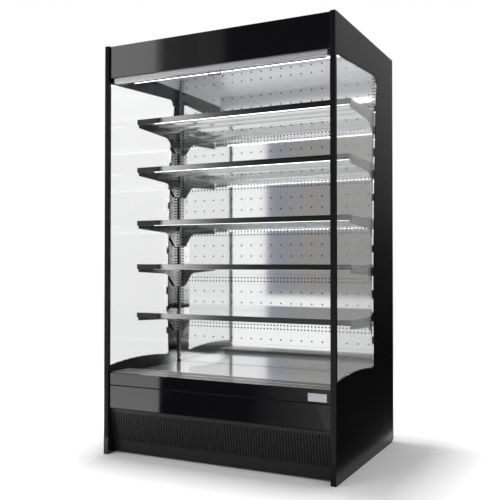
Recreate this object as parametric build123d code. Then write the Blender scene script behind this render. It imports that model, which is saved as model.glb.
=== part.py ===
from build123d import *
import math
import os

# Open multideck display fridge, free standing. Millimetres, +Z up, front faces -Y.
# The origin is on the floor, under the middle of the cabinet.

# overall sizes
width = 1200.0
depth = 880.0
height = 2000.0

# side walls
side_wall = 25.0
post_depth = 16.0
post_wall = 2.0
post_foot = 83.0
trim_height = 30.0
trim_depth = 18.0
trim_lift = 10.0
window_front = 18.0
window_rear_top = 605.0
window_rear_bottom = 543.5
window_waist = 541.0
window_waist_height = 1000.0
window_top_front = 179.0
window_top_rear = 145.5
window_bottom_front = 430.0
window_bottom_peak = 443.0
window_peak_at = 250.0
window_bottom_rear = 425.0
window_corner = 32.0
window_foot_corner = 8.0
seal_width = 2.5
glass_recess = 2.0

# canopy
panel_recess = 10.0
skin = 2.0
sheet = 1.5
roof_thickness = 14.0
roof_drop = 2.0
canopy_height = 157.0
lip = 6.0
roller_clear = 5.9
roller_drop = 70.0
roller_radius = 30.0
roller_wall = 2.0
roller_inset = 20.0
shaft_radius = 6.0
running_gap = 0.05
bracket_sheet = 3.0
bracket_gap = 2.0
fabric_thickness = 0.8
fabric_gap = 0.3
fabric_inset = 23.0
bar_inset = 18.0
bar_lead = 4.9
bar_depth = 26.0
bar_height = 23.0
bar_gap = 2.0
bar_slot = 8.0
handle_width = 64.0
handle_drop = 15.0
handle_wire = 2.4
handle_bend = 7.0
ear_width = 6.0
ear_below = 6.5
outlet_gap = 5.0
outlet_depth = 78.0
outlet_height = 15.0
outlet_drop = 145.0
outlet_slots = 46
outlet_rows = 3
outlet_bar = 3.0
ceiling_drop = 20.0
ceiling_side = 65.0
ceiling_inset = 2.0
lamp_depth = 25.0
lamp_height = 18.0
lamp_inset = 25.0

# back wall
duct_depth = 164.0
hole_pitch = 19.5
hole_radius = 4.2
foot_panel_height = 241.0
panel_seam = 0.6
panel_side_gap = 0.5
panel_flange = 14.0
panel_count = 5
edge_slot_count = 16
edge_slot_width = 19.0
edge_slot_height = 7.5
edge_slot_margin = 1.5
dense_from_top = 18.6
sparse_first = 57.0
top_panel_foot = 137.0
top_row_heights = (63.5, 105.5)
first_panel_cut = 16.0
first_panel_row = 26.0
foot_plain = 135.0
foot_fold = 8.0
wall_foam = 56.0
wall_recess = 10.0
upright_width = 12.0
upright_lead = 2.0
upright_depth = 30.0
slot_pitch = 12.5
slot_height = 8.5
slot_width = 4.6
slot_inset = 6.5
slot_start = 37.0

# shelves
shelf_shares = (0.175, 0.35, 0.51, 0.7, 0.877)
shelf_hook_drop = 11.0
shelf_depth = 414.0
shelf_side_gap = 5.0
shelf_back_gap = 5.0
plate_sheet = 1.2
plate_flange = 24.0
rib_height = 9.0
rib_width = 40.0
rail_height = 26.0
rail_sheet = 2.5
rail_side_gap = 2.0
rail_lip = 18.0
strip_height = 9.0
strip_depth = 11.0
strip_inset = 10.0
arm_sheet = 3.0
arm_front = 41.0
arm_middle = 54.0
arm_rear = 124.0
arm_step = 128.0
arm_toe = 55.0
arm_bend = 60.0
arm_head_gap = 1.0
hook_height = 6.0
hook_reach = 7.0
hook_nose = 4.0
hook_nose_gap = 3.6
hook_relief = 0.9

# base
deck_top = 378.0
deck_flange = 20.0
deck_inset = 3.0
grille_rise = 20.0
grille_front = 30.0
grille_rear = 168.0
grille_slots = 56
grille_slot_width = 11.0
grille_slot_length = 52.0
grille_rib = 8.0
grille_flange = 18.0
fascia_side_gap = 0.5
fascia_drop = 1.0
upper_fascia_height = 60.5
fascia_lap = 10.0
seam_gap = 3.0
tub_front = 35.0
tub_foam = 40.0
tub_floor_thick = 54.0
fan_space = 88.0
tub_lip_rise = 7.0
ledge_width = 15.0
kick_top_in = 20.0
kick_bottom_in = 57.0
kick_gap = 4.0
kick_bottom = 8.0
kick_side_gap = 1.0
kick_return = 40.0
kick_hole_radius = 3.0
kick_column_pitch = 16.0
kick_row_pitch = 11.2
kick_plain_foot = 60.0
kick_plain_head = 10.0
kick_plain_side = 16.0
frame_tube = 40.0
frame_wall = 3.0
frame_rear_in = 20.0
frame_rail = 31.0

# cooling machinery
condenser_inset = 145.0
condenser_width = 400.0
condenser_front = 125.0
condenser_thick = 60.0
condenser_fins = 40
condenser_lift = 6.0
condenser_head_gap = 10.0
shroud_depth = 30.0
fan_shroud_margin = 5.0
fan_hub = 24.0
fan_hub_length = 22.0
fan_blades = 5
fan_blade_sheet = 2.0
fan_blade_chord = 40.0
fan_blade_tilt = 28.0
fan_tip_gap = 5.0
fan_shaft = 4.0
fan_shaft_length = 16.0
motor_radius = 26.0
motor_length = 32.0
motor_gap = 3.0
motor_strut = 16.0
compressor_x = 170.0
compressor_y = 60.0
compressor_radius = 78.0
compressor_height = 150.0
compressor_foot = 10.0
compressor_foot_radius = 9.0
compressor_foot_in = 12.0
compressor_stub = 30.0
compressor_stub_radius = 6.0
evaporator_inset = 35.0
evaporator_rear_gap = 24.0
evaporator_thick = 110.0
evaporator_high = 640.0
evaporator_fins = 44
evaporator_rows = 6
evaporator_tube = 5.0
fan_plate_front = 190.0
fan_plate_rear = 400.0
fan_plate_low = 40.0
evap_fan_x = 270.0
evap_fan_radius = 70.0
pan_width = 500.0
pan_depth = 110.0
pan_height = 38.0
pan_wall = 3.0
control_inset = 105.0
control_width = 85.0
control_front = 95.0
control_depth = 55.0
control_height = 150.0
switch_width = 15.0
switch_height = 24.0
switch_gap = 0.5
switch_pocket = 12.0
switch_proud = 3.0
switch_thick = 8.0
switch_pin = 1.5
switch_pin_length = 2.0
switch_tilt = 8.0

# places worked out from the sizes above
half_width = width / 2
inner_x = half_width - side_wall
front = -depth / 2
rear = depth / 2
roof_top = height - roof_drop
roof_under = roof_top - roof_thickness
canopy_bottom = height - canopy_height
fascia_front = front + panel_recess
fascia_back = fascia_front + skin
ceiling_z = height - ceiling_drop
wall_rear = rear - wall_recess
wall_front = wall_rear - wall_foam
back_face = wall_front - duct_depth
upright_inner = inner_x - upright_width
upright_front = back_face - upright_lead
slot_x = inner_x - slot_inset
bar_top = canopy_bottom - bar_gap
bar_bottom = bar_top - bar_height
fabric_back = fascia_back + lip + roller_clear + fabric_thickness
roller_axis_y = fabric_back + fabric_gap + roller_radius
roller_axis_z = height - roller_drop
outlet_y0 = roller_axis_y + roller_radius + outlet_gap
outlet_y1 = outlet_y0 + outlet_depth
bar_y = fabric_back - fabric_thickness - bar_lead
ear_y = bar_y + bar_depth / 2
ear_z = bar_bottom - ear_below / 2
panel_top = height - top_panel_foot
panel_high = panel_top + first_panel_cut
panel_height = (panel_high - deck_top - foot_panel_height) / panel_count
edge_slot_pitch = panel_height / edge_slot_count
grille_top = deck_top + grille_rise
fascia_top = grille_top - fascia_drop
fascia_seam = fascia_top - upper_fascia_height
tub_lip_top = deck_top + tub_lip_rise
tub_floor_top = deck_top - fan_space
tub_floor_low = tub_floor_top - tub_floor_thick
fascia_bottom = tub_floor_low - fascia_lap
kick_top = fascia_bottom - kick_gap
slot_floor = deck_top + slot_start
slot_count = int((canopy_bottom - slot_floor) / slot_pitch)
hook_steps = int((arm_rear - shelf_hook_drop - hook_height) / slot_pitch)
shelf_steps = [round(share * slot_count) for share in shelf_shares]
condenser_left = condenser_inset - inner_x
condenser_low = frame_tube + condenser_lift
condenser_high = tub_floor_low - condenser_head_gap
fan_radius = (condenser_high - condenser_low) / 2 - fan_tip_gap - fan_shroud_margin
control_left = inner_x - control_inset - control_width


def block(x0, x1, y0, y1, z0, z1):
    middle = ((x0 + x1) / 2, (y0 + y1) / 2, (z0 + z1) / 2)
    return Pos(*middle) * Box(abs(x1 - x0), abs(y1 - y0), abs(z1 - z0))


def rod_x(x0, x1, y, z, radius):
    plane = Plane(origin=(min(x0, x1), y, z), z_dir=(1, 0, 0))
    return extrude(plane * Circle(radius), abs(x1 - x0))


def rod_z(x, y, z0, z1, radius):
    return Pos(x, y, z0) * extrude(Circle(radius), z1 - z0)


def profile_x(outline, x0, x1):
    # a plate with this (y, z) outline, from x0 to x1
    low = min(x0, x1)
    wire = Polyline(*[(low, y, z) for y, z in outline], close=True)
    return extrude(make_face(wire), abs(x1 - x0), dir=(1, 0, 0))


def both_sides(make):
    # the same piece at the left and at the right wall
    return [make(-1), make(1)]


def group(solids):
    return Compound(children=list(solids))


def pierced(plane, outer, circles, slots, thickness):
    # a flat sheet on the plane with round and square holes, as one face pushed to its thickness
    x0, x1, y0, y1 = outer
    rim = Wire.make_polygon([plane.from_local_coords(p) for p in ((x0, y0), (x1, y0), (x1, y1), (x0, y1))])
    holes = []
    for x, y, radius in circles:
        centre = plane.from_local_coords((x, y))
        holes.append(Wire.make_circle(radius, Plane(origin=centre, x_dir=plane.x_dir, z_dir=plane.z_dir)))
    for x, y, sx, sy in slots:
        corners = ((x - sx, y - sy), (x + sx, y - sy), (x + sx, y + sy), (x - sx, y + sy))
        holes.append(Wire.make_polygon([plane.from_local_coords(p) for p in corners]))
    return extrude(Face(rim, holes), thickness, dir=plane.z_dir)


# side walls

def window_face(side, inset, recess):
    # the window in the side wall: sloping head, hollow rear edge and an arched foot, drawn in by the inset
    x = inner_x if side > 0 else -half_width

    def corner(y, z, lean_y, lean_z):
        return Vector(x, front + y + lean_y * inset, z + lean_z * inset)
    p1 = corner(window_front, height - window_top_front, 1, -1)
    p2 = corner(window_rear_top, height - window_top_rear, -1, -1)
    waist = corner(window_waist, window_waist_height, -1, 0)
    p3 = corner(window_rear_bottom, window_bottom_rear, -1, 1)
    peak = corner(window_peak_at, window_bottom_peak, 0, 1)
    p4 = corner(window_front, window_bottom_front, 1, 1)
    outline = [Line(p1, p2), ThreePointArc(p2, waist, p3), ThreePointArc(p3, peak, p4), Line(p4, p1)]
    face = make_face(outline).faces()[0]
    for point, radius in ((p2, window_corner), (p3, window_foot_corner)):
        face = face.fillet_2d(radius - inset, [face.vertices().sort_by_distance(point)[0]])
    return Pos(recess, 0, 0) * face


def window_block(side, inset, recess, thickness):
    return extrude(window_face(side, inset, recess), thickness, dir=(1, 0, 0))


def side_panel(side):
    outline = [
        (front, 0),
        (rear - trim_depth, 0),
        (rear - trim_depth, height - trim_height),
        (front + post_depth, height - trim_height),
        (front + post_depth, post_foot),
        (front, post_foot),
    ]
    slab = profile_x(outline, side * inner_x, side * half_width)
    return slab - window_block(side, 0, 0, side_wall)


def side_glass(side):
    return window_block(side, seal_width, glass_recess, side_wall - 2 * glass_recess)


def glass_seals():
    def seal(side):
        frame = window_block(side, 0, glass_recess, side_wall - 2 * glass_recess)
        return frame - side_glass(side)
    return group(both_sides(seal))


def front_post(side):
    x0 = side * inner_x
    x1 = side * half_width
    tube = block(x0, x1, front, front + post_depth, post_foot, height)
    low = min(x0, x1) + post_wall
    high = max(x0, x1) - post_wall
    bore = block(low, high, front + post_wall, front + post_depth - post_wall, post_foot, height - post_wall)
    return tube - bore


def edge_trims():
    def top_trim(side):
        return block(side * inner_x, side * half_width, front + post_depth, rear - trim_depth,
                     height - trim_height, height)

    def rear_trim(side):
        return block(side * inner_x, side * half_width, rear - trim_depth, rear, trim_lift, height)
    return group(both_sides(top_trim) + both_sides(rear_trim))


# shell between the side walls

def rear_wall():
    return block(-inner_x, inner_x, wall_front, wall_rear, tub_floor_low, roof_under)


def roof_panel():
    return block(-inner_x, inner_x, fascia_back, wall_rear, roof_under, roof_top)


def base_tub():
    floor = block(-inner_x, inner_x, front + tub_front, wall_front, tub_floor_low, tub_floor_top)
    lead_y = front + tub_front + tub_foam
    body = floor + block(-inner_x, inner_x, front + tub_front, lead_y, tub_floor_top, tub_lip_top)
    for side in (-1, 1):
        body += block(side * (inner_x - ledge_width), side * inner_x, lead_y, back_face - shelf_back_gap,
                      tub_floor_top, deck_top - sheet)
    return body


def base_frame():
    first = front + kick_bottom_in + skin + frame_tube / 2
    last = rear - frame_rear_in
    body = None
    for side in (-1, 1):
        runner = block(side * (inner_x - frame_tube), side * inner_x, first, last, 0, frame_tube)
        body = runner if body is None else body + runner
        for y in (first, last - frame_tube):
            body += block(side * (inner_x - frame_tube), side * inner_x, y, y + frame_tube,
                          frame_tube, tub_floor_low)
    for y in (first, last - frame_tube):
        body += block(-inner_x, inner_x, y, y + frame_tube, 0, frame_tube)
    rail_y = front + kick_top_in + kick_return
    body += block(-inner_x, inner_x, rail_y, first + frame_tube, tub_floor_low - frame_rail, tub_floor_low)
    floor_sheet = block(-inner_x + frame_tube, inner_x - frame_tube, first + frame_tube, last - frame_tube,
                        frame_tube - frame_wall, frame_tube)
    return body + floor_sheet


# canopy

def canopy_fascia():
    x = inner_x - fascia_side_gap
    plate = block(-x, x, fascia_front, fascia_back, canopy_bottom, roof_top)
    return plate + block(-x, x, fascia_back, fascia_back + lip, canopy_bottom, canopy_bottom + skin)


def ceiling_panel():
    x = inner_x - ceiling_inset
    y0 = outlet_y1
    y1 = upright_front
    top = block(-x, x, y0, y1, ceiling_z - sheet, ceiling_z)
    top += block(-x, x, y0, y0 + sheet, height - outlet_drop, ceiling_z - sheet)
    side_z = ceiling_z - ceiling_side
    for side in (-1, 1):
        top += block(side * (x - sheet), side * x, y0 + sheet, y1, side_z, ceiling_z - sheet)
        top += block(side * (x - sheet * 2), side * x, y0, y1, ceiling_z, roof_under)
    return top


def air_outlet_grille():
    x = inner_x - ceiling_inset
    y0 = outlet_y0
    y1 = outlet_y1
    low = height - outlet_drop
    pitch_x = 2 * x / outlet_slots
    pitch_y = (y1 - y0) / outlet_rows
    slots = []
    for i in range(outlet_slots):
        for j in range(outlet_rows):
            slots.append((-x + pitch_x * (i + 0.5), y0 + pitch_y * (j + 0.5),
                          (pitch_x - outlet_bar) / 2, (pitch_y - outlet_bar) / 2))
    mesh = pierced(Plane(origin=(0, 0, low)), (-x, x, y0, y1), [], slots, outlet_height)
    return mesh + block(-x, x, y0 - sheet, y0, low, roof_under)


def canopy_lamp():
    x = inner_x - lamp_inset
    y0 = outlet_y1 + sheet
    high = height - outlet_drop + outlet_height
    outline = [
        (y0, high),
        (y0 + lamp_depth, high),
        (y0 + lamp_depth, high - lamp_height * 0.5),
        (y0 + lamp_depth * 0.6, high - lamp_height),
        (y0, high - lamp_height),
    ]
    return profile_x(outline, -x, x)


# night blind

def roller_brackets():
    def bracket(side):
        x0 = side * (inner_x - bracket_gap - bracket_sheet)
        x1 = side * (inner_x - bracket_gap)
        plate = block(x0, x1, fascia_back + lip, roller_axis_y + roller_radius,
                      roller_axis_z - roller_radius, roof_under)
        return plate - rod_x(x0, x1, roller_axis_y, roller_axis_z, shaft_radius + running_gap)
    return group(both_sides(bracket))


def blind_roller():
    x = inner_x - roller_inset
    tube = rod_x(-x, x, roller_axis_y, roller_axis_z, roller_radius)
    tube -= rod_x(-x, x, roller_axis_y, roller_axis_z, roller_radius - roller_wall)
    cap = x - roller_wall * 2
    cap_radius = roller_radius - roller_wall / 2
    for side in (-1, 1):
        tube += rod_x(side * cap, side * x, roller_axis_y, roller_axis_z, cap_radius)
        shaft_end = side * (inner_x - bracket_gap)
        tube += rod_x(side * cap, shaft_end, roller_axis_y, roller_axis_z, shaft_radius)
    return tube


def blind_fabric():
    x = inner_x - fabric_inset
    low = bar_top - bar_slot + fabric_gap
    return block(-x, x, fabric_back - fabric_thickness, fabric_back, low, roller_axis_z)


def blind_bar():
    x = inner_x - bar_inset
    body = block(-x, x, bar_y, bar_y + bar_depth, bar_bottom, bar_top)
    groove = bar_depth / 5
    for step in (0.35, 0.65):
        z = bar_bottom + bar_height * step
        body -= block(-x, x, bar_y, bar_y + 0.8, z - 0.8, z + 0.8)
    body -= block(-x, x, fabric_back - fabric_thickness - fabric_gap, fabric_back + fabric_gap,
                  bar_top - bar_slot, bar_top)
    body -= block(-x, x, bar_y + bar_depth - groove, bar_y + bar_depth, bar_bottom + groove, bar_top - groove)
    for side in (-1, 1):
        ear_out = handle_width / 2 - handle_wire - bracket_gap
        ear = block(side * (ear_out - ear_width), side * ear_out, ear_y - ear_below, ear_y + ear_below,
                    bar_bottom - ear_below, bar_bottom)
        body += ear
    reach = handle_width / 2
    return body - rod_x(-reach, reach, ear_y, ear_z, handle_wire + running_gap)


def blind_handle():
    x = handle_width / 2
    end = x - handle_wire - bracket_gap - ear_width + running_gap * 4
    low = ear_z - handle_drop
    tight = handle_wire * 1.3
    bends = [tight, handle_bend, handle_bend, tight]
    corners = [(-end, ear_z), (-x, ear_z), (-x, low), (x, low), (x, ear_z), (end, ear_z)]
    path = FilletPolyline(*[(a, ear_y, b) for a, b in corners], radius=bends)
    section = Plane(origin=(-end, ear_y, ear_z), z_dir=(-1, 0, 0)) * Circle(handle_wire)
    return sweep(section, path=path)


# back wall

def edge_slots(x, z0, z1):
    # short level slots up both edges of a panel, set out from the seams
    reach = edge_slot_height / 2 + edge_slot_margin
    at = x - edge_slot_margin - edge_slot_width / 2
    slots = []
    z = panel_high + (int(height / edge_slot_pitch) + 0.5) * edge_slot_pitch
    while z > z0 + reach:
        if z < z1 - reach:
            slots += [(side * at, z, edge_slot_width / 2, edge_slot_height / 2) for side in (-1, 1)]
        z -= edge_slot_pitch
    return slots


def back_plate(z0, z1, rows, slot_foot):
    # one steel panel; rows holds (height, every how many columns a hole sits)
    x = upright_inner - panel_side_gap
    plane = Plane(origin=(0, back_face, 0), x_dir=(1, 0, 0), z_dir=(0, -1, 0))
    half = int((x - 2 * edge_slot_margin - edge_slot_width - hole_radius) / hole_pitch)
    circles = []
    for z, step in rows:
        for k in range(-half, half + 1):
            if k % step == 0:
                circles.append((k * hole_pitch, z, hole_radius))
    slots = edge_slots(x, max(z0, slot_foot), z1)
    plate = pierced(plane, (-x, x, z0 + panel_seam / 2, z1 - panel_seam / 2), circles, slots, -sheet)
    return plate + block(-x, x, back_face + sheet, back_face + panel_flange,
                         z1 - panel_seam / 2 - sheet, z1 - panel_seam / 2)


def back_panel(index):
    # two close rows under the seam and open rows below them; the first panel is shorter and has open rows only
    high = panel_high - index * panel_height
    low = high - panel_height
    if index == 0:
        high = panel_top
        rows = [(high - first_panel_row, 3)]
    else:
        first = high - dense_from_top
        rows = [(first, 1), (first - hole_pitch, 1), (first - hole_pitch - sparse_first, 3)]
    while rows[-1][0] - 3 * hole_pitch > low + 2 * hole_radius:
        rows.append((rows[-1][0] - 3 * hole_pitch, 3))
    return back_plate(low, high, [(z, step) for z, step in rows if z > low + 2 * hole_radius], low)


def top_back_panel():
    rows = [(panel_top + z, 3) for z in top_row_heights if panel_top + z < ceiling_z - 2 * hole_radius]
    return back_plate(panel_top, ceiling_z - sheet, rows, panel_top)


def foot_back_panel():
    high = panel_high - panel_count * panel_height
    low = deck_top
    first = high - dense_from_top
    rows = [(first, 1), (first - hole_pitch, 1), (first - hole_pitch - sparse_first, 3)]
    rows = [(z, step) for z, step in rows if z > low + foot_plain]
    x = upright_inner - panel_side_gap
    fold_z = low + foot_plain - foot_fold * 3
    plate = back_plate(low, high, rows, fold_z + foot_fold)
    return plate + block(-x, x, back_face - foot_fold / 2, back_face, fold_z, fold_z + foot_fold)


def slotted_uprights():
    def upright(side):
        x0 = side * upright_inner
        x1 = side * (inner_x - fascia_side_gap)
        low = slot_floor - 2 * slot_pitch
        high = ceiling_z - sheet * 2
        rungs = int((high - slot_floor) / slot_pitch)
        slots = []
        for k in range(rungs):
            slots.append((side * slot_x, slot_floor + k * slot_pitch, slot_width / 2, slot_height / 2))
        plane = Plane(origin=(0, upright_front, 0), x_dir=(1, 0, 0), z_dir=(0, -1, 0))
        web = pierced(plane, (min(x0, x1), max(x0, x1), low, high), [], slots, -skin)
        for x in (x0, x1 - side * skin):
            web += block(x, x + side * skin, upright_front + skin, upright_front + upright_depth, low, high)
        return web
    return group(both_sides(upright))


# shelves

def shelf_top(step):
    return slot_floor + step * slot_pitch + shelf_hook_drop


def shelf_front():
    return back_face - shelf_depth


def shelf_plate(step):
    x = inner_x - shelf_side_gap
    y0 = shelf_front() + rail_sheet + fascia_side_gap
    y1 = back_face - shelf_back_gap
    top = shelf_top(step)
    plate = block(-x, x, y0, y1, top - plate_sheet, top)
    plate += block(-x, x, y0, y0 + plate_sheet, top - plate_flange, top - plate_sheet)
    arm_x = slot_x - arm_sheet * 2
    for share in (0.25, 0.5, 0.75):
        y = y0 + (y1 - y0) * share
        plate += block(-arm_x, arm_x, y - rib_width / 2, y + rib_width / 2,
                       top - plate_sheet - rib_height, top - plate_sheet)
        plate -= block(-arm_x, arm_x, y - rib_width / 2 + plate_sheet, y + rib_width / 2 - plate_sheet,
                       top - plate_sheet - rib_height, top - plate_sheet * 2)
    return plate


def lamp_rail(step):
    # the price rail, and the lamp strip clipped under its lower lip
    x = inner_x - rail_side_gap
    y0 = shelf_front()
    top = shelf_top(step)
    low = top - rail_height
    rail = block(-x, x, y0, y0 + rail_sheet, low, top)
    rail += block(-x, x, y0 + rail_sheet, y0 + rail_lip, low, low + plate_sheet)
    strip_x = inner_x - strip_inset
    strip_y = y0 + rail_lip - strip_depth
    strip = block(-strip_x, strip_x, strip_y, strip_y + strip_depth, low - strip_height, low)
    return group([rail, strip])


def shelf_arms(step):
    # two hooked cantilever arms; the hook sits on the foot of its slot and the toe leans on the upright
    top = shelf_top(step)
    under = top - plate_sheet
    hook_z = top - shelf_hook_drop
    hook_low = hook_z - slot_height / 2
    hook_high = hook_low + hook_height
    back = upright_front
    lead = shelf_front() + rail_lip
    outline = [
        (lead, under),
        (back - shelf_hook_drop / 2, under),
        (back - arm_head_gap, hook_high),
        (back, hook_low),
        (back, top - arm_rear),
        (back - arm_toe, top - arm_rear),
        (back - arm_step, top - arm_middle),
        (lead - rail_lip / 2, top - arm_front),
        (lead - rail_lip / 2, top - rail_height),
        (lead, top - rail_height),
    ]

    def arm(side):
        x0 = side * slot_x - arm_sheet / 2
        x1 = side * slot_x + arm_sheet / 2
        face = make_face(Polyline(*[(x0, y, z) for y, z in outline], close=True)).faces()[0]
        bend = face.vertices().sort_by_distance((x0, back - arm_step, top - arm_middle))[0]
        plate = extrude(face.fillet_2d(arm_bend, [bend]), arm_sheet, dir=(1, 0, 0))
        plate += block(x0, x1, back - arm_head_gap, back + hook_reach, hook_low, hook_high)
        plate += block(x0, x1, back + hook_nose_gap, back + hook_reach, hook_low - hook_nose, hook_high)
        plate -= rod_x(x0, x1, back + skin, hook_low, hook_relief)
        low_z = hook_z - hook_steps * slot_pitch
        return plate + block(x0, x1, back, back + hook_reach - hook_nose_gap / 2,
                             low_z - hook_height / 2, low_z + hook_height / 2)
    return group(both_sides(arm))


# front of the base

def deck_plate():
    x = inner_x - deck_inset
    y0 = front + grille_rear
    y1 = back_face - shelf_back_gap
    plate = block(-x, x, y0, y1, deck_top - sheet, deck_top)
    inside = inner_x - ledge_width - deck_inset
    plate += block(-inside, inside, y0, y0 + sheet, deck_top - deck_flange, deck_top - sheet)
    return plate + block(-inside, inside, y1 - sheet, y1, deck_top - deck_flange, deck_top - sheet)


def return_grille():
    x = inner_x - deck_inset
    y0 = front + grille_front
    y1 = front + grille_rear
    pitch = 2 * (x - grille_rib) / grille_slots
    middle = (y0 + y1) / 2
    slots = []
    for i in range(grille_slots):
        slot_at = -x + grille_rib + pitch * (i + 0.5)
        for way in (-1, 1):
            slots.append((slot_at, middle + way * (grille_slot_length + grille_rib) / 2,
                          grille_slot_width / 2, grille_slot_length / 2))
    plane = Plane(origin=(0, 0, grille_top - sheet))
    plate = pierced(plane, (-x, x, y0, y1), [], slots, sheet)
    inside = inner_x - ledge_width - deck_inset
    under = grille_top - sheet
    plate += block(-x, x, y0, y0 + sheet, tub_lip_top, under)
    return plate + block(-inside, inside, y1 - sheet, y1, under - grille_flange * 2, under)


def fascia_sheet(low, high, top_reach, foot_reach):
    x = inner_x - fascia_side_gap
    plate = block(-x, x, fascia_front, fascia_back, low, high)
    plate += block(-x, x, fascia_back, front + top_reach, high - sheet, high)
    return plate + block(-x, x, fascia_back, front + foot_reach, low, low + sheet)


def upper_fascia():
    return fascia_sheet(fascia_seam + seam_gap / 2, fascia_top, grille_front, tub_front)


def lower_fascia():
    return fascia_sheet(fascia_bottom, fascia_seam - seam_gap / 2, tub_front, tub_front)


def kick_grille():
    # raked perforated plate, set back further at the floor
    x = inner_x - kick_side_gap
    rise = kick_top - kick_bottom
    back_set = kick_bottom_in - kick_top_in
    length = math.hypot(rise, back_set)
    normal = (0, -rise / length, -back_set / length)
    plane = Plane(origin=(0, front + kick_bottom_in, kick_bottom), x_dir=(1, 0, 0), z_dir=normal)
    columns = int(2 * (x - kick_plain_side) / kick_column_pitch)
    rows = int((length - kick_plain_foot - kick_plain_head) / kick_row_pitch)
    circles = []
    for i in range(columns + 1):
        hole_x = (i - columns / 2) * kick_column_pitch
        shift = kick_row_pitch / 2 if i % 2 else 0
        for j in range(rows):
            circles.append((hole_x, kick_plain_foot + shift + j * kick_row_pitch, kick_hole_radius))
    plate = pierced(plane, (-x, x, 0, length), circles, [], -skin)
    top_y = front + kick_top_in
    return plate + block(-x, x, top_y + skin, top_y + kick_return, kick_top - skin * 1.5, kick_top - skin / 2)


# cooling machinery

def axial_fan(radius):
    # hub, pitched blades and shaft stub, turning about +Z with its shaft below the hub
    fan = extrude(Circle(fan_hub), fan_hub_length)
    length = radius - fan_hub / 2
    for k in range(fan_blades):
        blade = Rot(fan_blade_tilt, 0, 0) * Box(length, fan_blade_chord, fan_blade_sheet)
        blade = Pos((fan_hub + length) / 2, 0, fan_hub_length / 2) * blade
        fan += Rot(0, 0, k * 360 / fan_blades) * blade
    limit = Pos(0, 0, -fan_shaft_length) * extrude(Circle(radius), fan_hub_length + 2 * fan_shaft_length)
    fan = fan & limit
    return fan + Pos(0, 0, -fan_shaft_length) * extrude(Circle(fan_shaft), fan_shaft_length)


def fan_motor(reach):
    # motor can below the blades on a flat strut, with a bore for the shaft; its top is at z = -motor_gap
    can = Pos(0, 0, -motor_gap - motor_length) * extrude(Circle(motor_radius), motor_length)
    strut = block(-motor_strut / 2, motor_strut / 2, -reach, reach, -motor_gap - sheet * 2, -motor_gap)
    bore = extrude(Circle(fan_shaft + running_gap), fan_shaft_length)
    return can + strut - Pos(0, 0, -fan_shaft_length - motor_gap) * bore


def condenser_fan_place():
    x = condenser_left + condenser_width / 2
    y = front + condenser_front + condenser_thick + shroud_depth
    z = (condenser_low + condenser_high) / 2
    return Pos(x, y - motor_gap, z) * Rot(90, 0, 0)


def condenser_coil():
    x0 = condenser_left
    x1 = condenser_left + condenser_width
    y0 = front + condenser_front
    y1 = y0 + condenser_thick
    core = block(x0, x1, y0, y1, condenser_low, condenser_high)
    fin_pitch = condenser_width / condenser_fins
    groove = condenser_thick * 0.2
    for i in range(condenser_fins):
        x = x0 + fin_pitch * (i + 0.5)
        core -= block(x - fin_pitch * 0.3, x + fin_pitch * 0.3, y0, y0 + groove, condenser_low + sheet,
                      condenser_high - sheet)
    return core + block(x0, x1, y0, y1, frame_tube, condenser_low)


def condenser_shroud():
    x0 = condenser_left
    x1 = condenser_left + condenser_width
    y0 = front + condenser_front + condenser_thick
    y1 = y0 + shroud_depth
    shell = block(x0, x1, y0, y1, condenser_low, condenser_high)
    shell -= block(x0 + sheet, x1 - sheet, y0, y1 - sheet, condenser_low + sheet, condenser_high - sheet)
    place = condenser_fan_place()
    hole = place * (Pos(0, 0, -motor_gap * 2) * extrude(Circle(fan_radius + fan_tip_gap), motor_gap * 4))
    return shell - hole + place * fan_motor(fan_radius + fan_tip_gap + sheet)


def condenser_fan():
    return condenser_fan_place() * axial_fan(fan_radius)


def compressor():
    can = rod_z(compressor_x, compressor_y, frame_tube + compressor_foot, frame_tube + compressor_height,
                compressor_radius)
    can = fillet(can.edges().filter_by(GeomType.CIRCLE), compressor_radius * 0.42)
    reach = compressor_radius * 1.15
    plate = block(compressor_x - reach, compressor_x + reach, compressor_y - reach * 0.7,
                  compressor_y + reach * 0.7, frame_tube + compressor_foot,
                  frame_tube + compressor_foot + bracket_sheet)
    body = can + plate
    for sx in (-1, 1):
        for sy in (-1, 1):
            foot_x = compressor_x + sx * (reach - compressor_foot_in)
            foot_y = compressor_y + sy * (reach * 0.7 - compressor_foot_in)
            body += rod_z(foot_x, foot_y, frame_tube, frame_tube + compressor_foot, compressor_foot_radius)
    stub_z = frame_tube + compressor_height * 0.6
    stub_end = compressor_x + compressor_radius + compressor_stub
    return body + rod_x(compressor_x + compressor_radius * 0.9, stub_end, compressor_y, stub_z,
                        compressor_stub_radius)


def evaporator_coil():
    x = inner_x - evaporator_inset
    y1 = wall_front - evaporator_rear_gap
    y0 = y1 - evaporator_thick
    core = block(-x, x, y0, y1, tub_floor_top, evaporator_high)
    fin_pitch = 2 * x / evaporator_fins
    for i in range(evaporator_fins):
        at = -x + fin_pitch * (i + 0.5)
        core -= block(at - fin_pitch * 0.35, at + fin_pitch * 0.35, y0, y0 + evaporator_thick * 0.2,
                      tub_floor_top + deck_flange, evaporator_high - sheet)
    rise = (evaporator_high - tub_floor_top) / evaporator_rows
    for k in range(evaporator_rows):
        z = tub_floor_top + rise * (k + 0.5)
        for side in (-1, 1):
            core += rod_x(side * x, side * (x + evaporator_inset / 2), (y0 + y1) / 2, z, evaporator_tube)
    return core


def evap_fan_place(side):
    y = front + (fan_plate_front + fan_plate_rear) / 2
    return Pos(side * evap_fan_x, y, tub_floor_top + fan_plate_low + motor_gap)


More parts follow.
